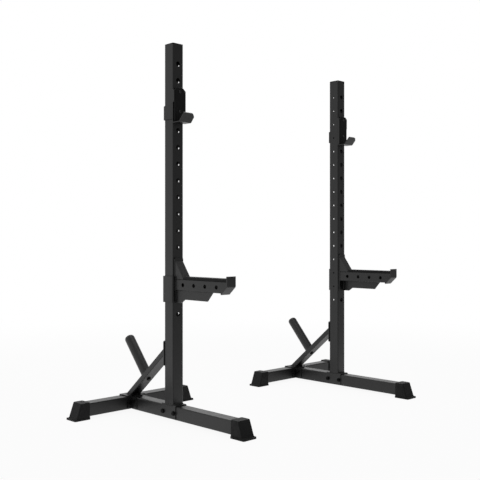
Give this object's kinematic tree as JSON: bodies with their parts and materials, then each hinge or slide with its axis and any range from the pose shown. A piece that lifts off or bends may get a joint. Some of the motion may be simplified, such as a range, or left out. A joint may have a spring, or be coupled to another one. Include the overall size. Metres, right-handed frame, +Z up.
{
  "type": "squat stand",
  "caption": "Free-standing barbell squat stands in black steel: T base on rubber boots, drilled square upright, slanting brace with a plate peg, bar hook and spotter arm.",
  "frame": {"origin": "on the floor, midway between the two stands and midway between their front and rear ends", "axes": "+Z is up, the front, where the bar is racked, faces -Y, and X runs from the left stand to the right stand"},
  "size_m": [1.8766, 0.8504, 1.7],
  "materials": {
    "frame": "satin black powder coat with a fine grain",
    "fasteners": "black-plated steel, semi-gloss",
    "rubber": "matt moulded rubber",
    "plastic": "matt moulded plastic"
  },
  "bodies": {
    "stands": {"left_base_tube": "frame", "left_brace": "frame", "left_brace_bolt_lower": "fasteners", "left_brace_bolt_upper": "fasteners", "left_cross_tube": "frame", "left_front_boot": "rubber", "left_inner_boot": "rubber", "left_outer_boot": "rubber", "left_peg_bolt": "fasteners", "left_plate_peg": "frame", "left_saddle": "frame", "left_saddle_bolt_front": "fasteners", "left_saddle_bolt_rear": "fasteners", "left_tie_bolt": "fasteners", "left_tongue_bolt": "fasteners", "left_upright": "frame", "left_upright_cap": "plastic", "left_yoke": "frame", "left_yoke_bolt_inner": "fasteners", "left_yoke_bolt_outer": "fasteners", "right_base_tube": "frame", "right_brace": "frame", "right_brace_bolt_lower": "fasteners", "right_brace_bolt_upper": "fasteners", "right_cross_tube": "frame", "right_front_boot": "rubber", "right_inner_boot": "rubber", "right_outer_boot": "rubber", "right_peg_bolt": "fasteners", "right_plate_peg": "frame", "right_saddle": "frame", "right_saddle_bolt_front": "fasteners", "right_saddle_bolt_rear": "fasteners", "right_tie_bolt": "fasteners", "right_tongue_bolt": "fasteners", "right_upright": "frame", "right_upright_cap": "plastic", "right_yoke": "frame", "right_yoke_bolt_inner": "fasteners", "right_yoke_bolt_outer": "fasteners"},
    "left_hook": {"left_hook_bracket": "frame", "left_hook_pad": "plastic", "left_hook_pin": "fasteners"},
    "left_arm": {"left_arm_bracket": "frame", "left_arm_beam": "frame", "left_arm_gusset": "frame", "left_arm_web": "frame", "left_arm_stop": "frame", "left_arm_liner": "plastic", "left_arm_pin": "fasteners"},
    "right_hook": {"right_hook_bracket": "frame", "right_hook_pad": "plastic", "right_hook_pin": "fasteners"},
    "right_arm": {"right_arm_bracket": "frame", "right_arm_beam": "frame", "right_arm_gusset": "frame", "right_arm_web": "frame", "right_arm_stop": "frame", "right_arm_liner": "plastic", "right_arm_pin": "fasteners"}
  },
  "joints": [
    {"name": "left_hook_swing", "type": "hinge", "parent": "stands", "child": "left_hook", "pos_m": [-0.596, 0.05495, 1.458], "axis": [0, 1, 0], "range_deg": [0, 85]},
    {"name": "left_arm_swing", "type": "hinge", "parent": "stands", "child": "left_arm", "pos_m": [-0.596, 0.05395, 0.708], "axis": [0, 1, 0], "range_deg": [0, 117]},
    {"name": "right_hook_swing", "type": "hinge", "parent": "stands", "child": "right_hook", "pos_m": [0.58, 0.05495, 1.458], "axis": [0, -1, 0], "range_deg": [0, 85]},
    {"name": "right_arm_swing", "type": "hinge", "parent": "stands", "child": "right_arm", "pos_m": [0.58, 0.05395, 0.708], "axis": [0, -1, 0], "range_deg": [0, 117]}
  ]
}
